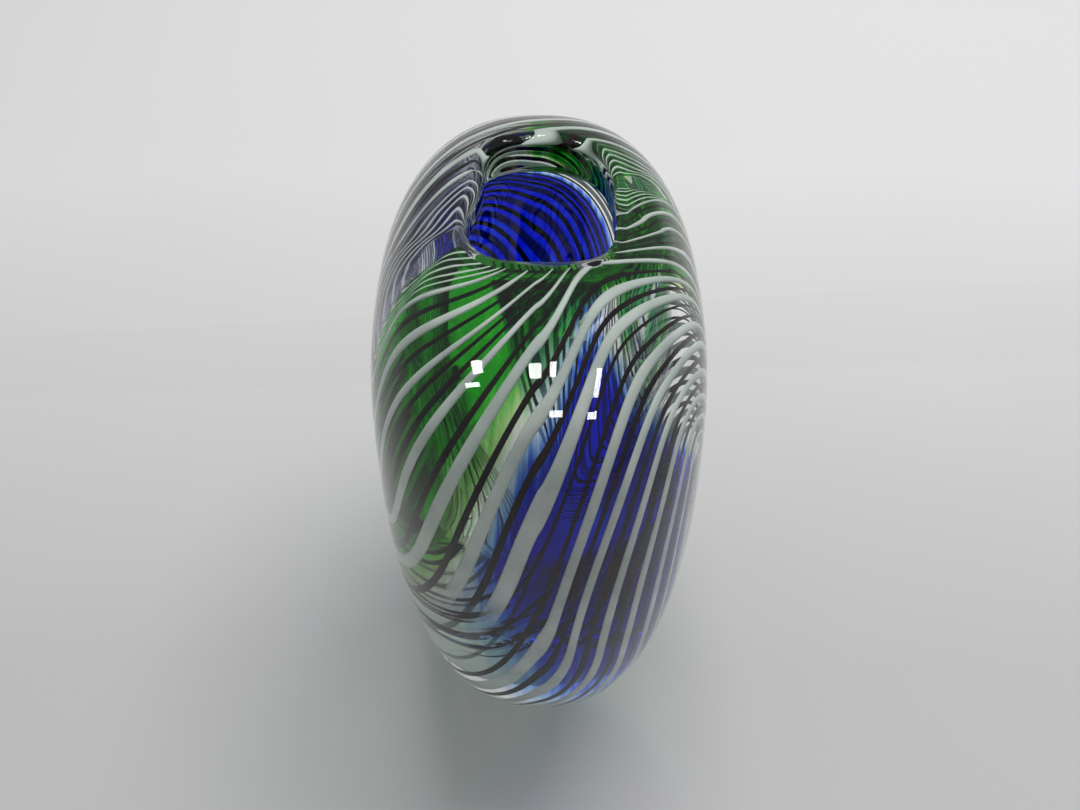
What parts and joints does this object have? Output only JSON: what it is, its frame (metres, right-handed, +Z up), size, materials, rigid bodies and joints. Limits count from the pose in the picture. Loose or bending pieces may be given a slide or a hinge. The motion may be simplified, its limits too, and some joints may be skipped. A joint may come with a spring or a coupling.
{
  "type": "art glass vase",
  "caption": "Flattened pebble-shaped hand blown vase with a thick clear wall, an off-round mouth cut through the top, and combed white and dark threads over green and blue glass.",
  "frame": {"origin": "centre of the ground foot, on the surface the vase stands on, under the middle of its bounding box", "axes": "+Z up, X across the narrow way of the flattened body, Y along its long way; the pictured narrow side faces -Y"},
  "size_m": [0.104, 0.17, 0.189],
  "materials": {
    "clear_glass": "fire polished, clear",
    "green_glass": "transparent emerald green, streaky",
    "cobalt_glass": "transparent cobalt blue",
    "violet_glass": "smoky violet tint",
    "white_enamel_glass": "opaque white",
    "amethyst_glass": "near-black amethyst"
  },
  "bodies": {
    "root": {"outer_casing": "clear_glass", "inner_core": "clear_glass", "green_overlay_front": "green_glass", "cobalt_overlay_front": "cobalt_glass", "green_overlay_back": "green_glass", "cobalt_overlay_back": "cobalt_glass", "violet_overlay_left": "violet_glass", "white_thread_01": "white_enamel_glass", "white_thread_02": "white_enamel_glass", "white_thread_03": "white_enamel_glass", "white_thread_04": "white_enamel_glass", "white_thread_05": "white_enamel_glass", "white_thread_06": "white_enamel_glass", "white_thread_07": "white_enamel_glass", "white_thread_08": "white_enamel_glass", "white_thread_09": "white_enamel_glass", "white_thread_10": "white_enamel_glass", "white_thread_11": "white_enamel_glass", "white_thread_12": "white_enamel_glass", "white_thread_13": "white_enamel_glass", "white_thread_14": "white_enamel_glass", "white_thread_15": "white_enamel_glass", "white_thread_16": "white_enamel_glass", "white_thread_17": "white_enamel_glass", "white_thread_18": "white_enamel_glass", "white_thread_19": "white_enamel_glass", "white_thread_20": "white_enamel_glass", "dark_thread_01": "amethyst_glass", "dark_thread_02": "amethyst_glass", "dark_thread_03": "amethyst_glass", "dark_thread_04": "amethyst_glass", "dark_thread_05": "amethyst_glass", "dark_thread_06": "amethyst_glass", "dark_thread_07": "amethyst_glass", "dark_thread_08": "amethyst_glass", "dark_thread_09": "amethyst_glass", "dark_thread_10": "amethyst_glass", "dark_thread_11": "amethyst_glass", "dark_thread_12": "amethyst_glass", "dark_thread_13": "amethyst_glass", "dark_thread_14": "amethyst_glass", "dark_thread_15": "amethyst_glass", "dark_thread_16": "amethyst_glass", "dark_thread_17": "amethyst_glass", "dark_thread_18": "amethyst_glass", "dark_thread_19": "amethyst_glass"}
  },
  "joints": []
}
